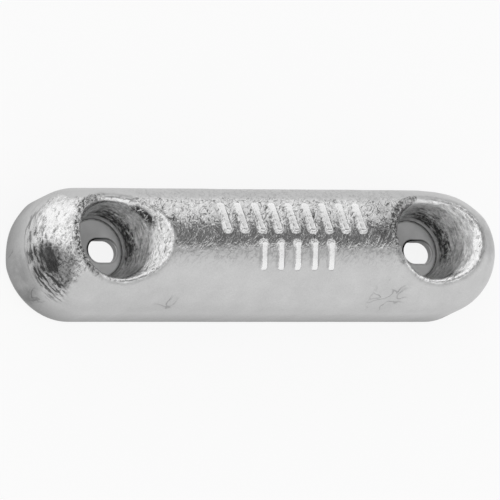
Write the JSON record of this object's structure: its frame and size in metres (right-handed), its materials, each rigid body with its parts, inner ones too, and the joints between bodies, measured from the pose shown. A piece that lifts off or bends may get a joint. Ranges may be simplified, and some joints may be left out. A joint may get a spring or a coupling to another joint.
{
  "type": "bolt-on bar sacrificial anode",
  "caption": "Zinc bar anode for a hull, cast round a slotted steel strap, with a deep flared pocket over each stud hole.",
  "frame": {"origin": "middle of the bar's flat back, on its lowest plane", "axes": "+X along the bar through both stud holes, +Y across the bar, +Z from the flat back to the crown"},
  "size_m": [0.1984, 0.046, 0.0381],
  "materials": {
    "zinc": "as cast zinc, bright",
    "strap_steel": "galvanised, satin"
  },
  "bodies": {
    "root": {"anode_casting": "zinc", "fixing_strap": "strap_steel"}
  },
  "joints": []
}
